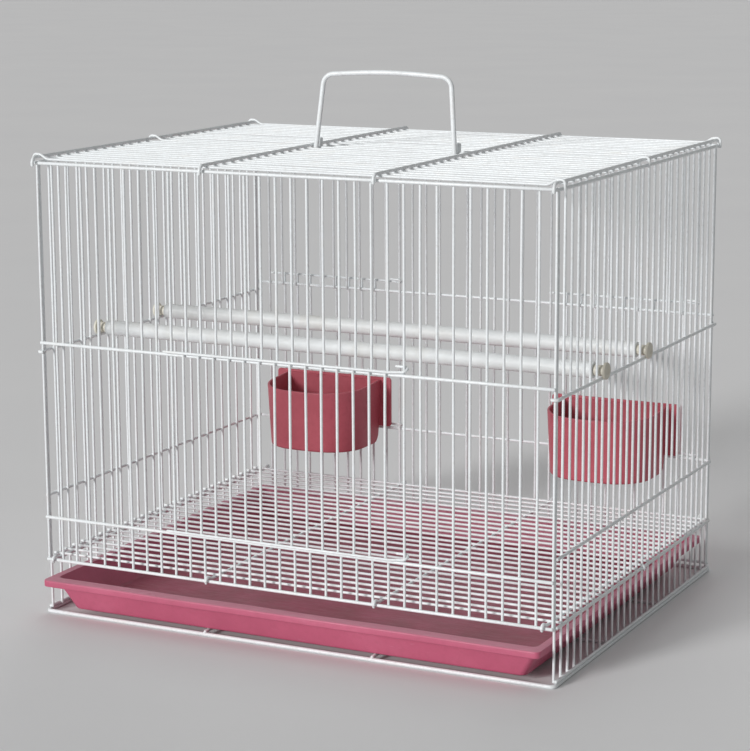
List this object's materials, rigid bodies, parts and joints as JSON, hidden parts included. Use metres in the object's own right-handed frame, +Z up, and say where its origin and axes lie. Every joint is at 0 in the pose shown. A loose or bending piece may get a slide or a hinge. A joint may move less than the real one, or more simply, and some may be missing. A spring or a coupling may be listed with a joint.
{
  "type": "wire bird cage",
  "caption": "Knock-down welded-wire bird cage with hinged doors, folding carry handle, wire floor, pull-out tray, lift-out perches and hook-on feed cups",
  "frame": {"origin": "middle of the bounding box at ground level, under the base frame, with the tray pushed in", "axes": "+X to the right along the front wall, +Y from the front door to the back wall, +Z up"},
  "size_m": [0.4312, 0.3538, 0.413],
  "materials": {
    "coated_wire": "white coated welded steel wire",
    "tray_plastic": "pink-red moulded plastic",
    "cup_plastic": "red moulded plastic",
    "rod_plastic": "off-white plastic tube",
    "plug_plastic": "grey-beige moulded plastic"
  },
  "bodies": {
    "cage": {"front_panel": "coated_wire", "back_panel": "coated_wire", "left_side_panel": "coated_wire", "right_side_panel": "coated_wire", "top_panel": "coated_wire", "floor_grid": "coated_wire", "base_grid": "coated_wire"},
    "front_door_leaf": {"front_door": "coated_wire"},
    "left_feeder_leaf": {"left_feeder_door": "coated_wire"},
    "right_feeder_leaf": {"right_feeder_door": "coated_wire"},
    "handle": {"carry_handle": "coated_wire"},
    "tray_drawer": {"tray": "tray_plastic"},
    "front_perch_set": {"front_perch": "rod_plastic", "front_perch_left_plug": "plug_plastic", "front_perch_right_plug": "plug_plastic"},
    "rear_perch_set": {"rear_perch": "rod_plastic", "rear_perch_left_plug": "plug_plastic", "rear_perch_right_plug": "plug_plastic"},
    "left_cup": {"left_feed_cup": "cup_plastic"},
    "right_cup": {"right_feed_cup": "cup_plastic"}
  },
  "joints": [
    {"name": "front_door_swing", "type": "hinge", "parent": "cage", "child": "front_door_leaf", "pos_m": [0.09525, -0.1609, 0.147], "axis": [0, 0, 1], "range_deg": [0, 130]},
    {"name": "left_feeder_swing", "type": "hinge", "parent": "cage", "child": "left_feeder_leaf", "pos_m": [-0.06985, 0.1693, 0.158], "axis": [0, 0, -1], "range_deg": [0, 130]},
    {"name": "right_feeder_swing", "type": "hinge", "parent": "cage", "child": "right_feeder_leaf", "pos_m": [0.19685, 0.1693, 0.158], "axis": [0, 0, -1], "range_deg": [0, 130]},
    {"name": "handle_fold", "type": "hinge", "parent": "cage", "child": "handle", "pos_m": [0, 0.0042, 0.35165], "axis": [1, 0, 0], "range_deg": [-85, 60]},
    {"name": "tray_slide", "type": "slide", "parent": "cage", "child": "tray_drawer", "axis": [0, -1, 0], "range_m": [0, 0.3]},
    {"name": "front_perch_lift", "type": "slide", "parent": "cage", "child": "front_perch_set", "axis": [0, 0, 1], "range_m": [0, 0.12]},
    {"name": "rear_perch_lift", "type": "slide", "parent": "cage", "child": "rear_perch_set", "axis": [0, 0, 1], "range_m": [0, 0.12]},
    {"name": "left_cup_lift", "type": "slide", "parent": "cage", "child": "left_cup", "axis": [0, 0, 1], "range_m": [0, 0.03]},
    {"name": "right_cup_lift", "type": "slide", "parent": "cage", "child": "right_cup", "axis": [0, 0, 1], "range_m": [0, 0.03]}
  ]
}
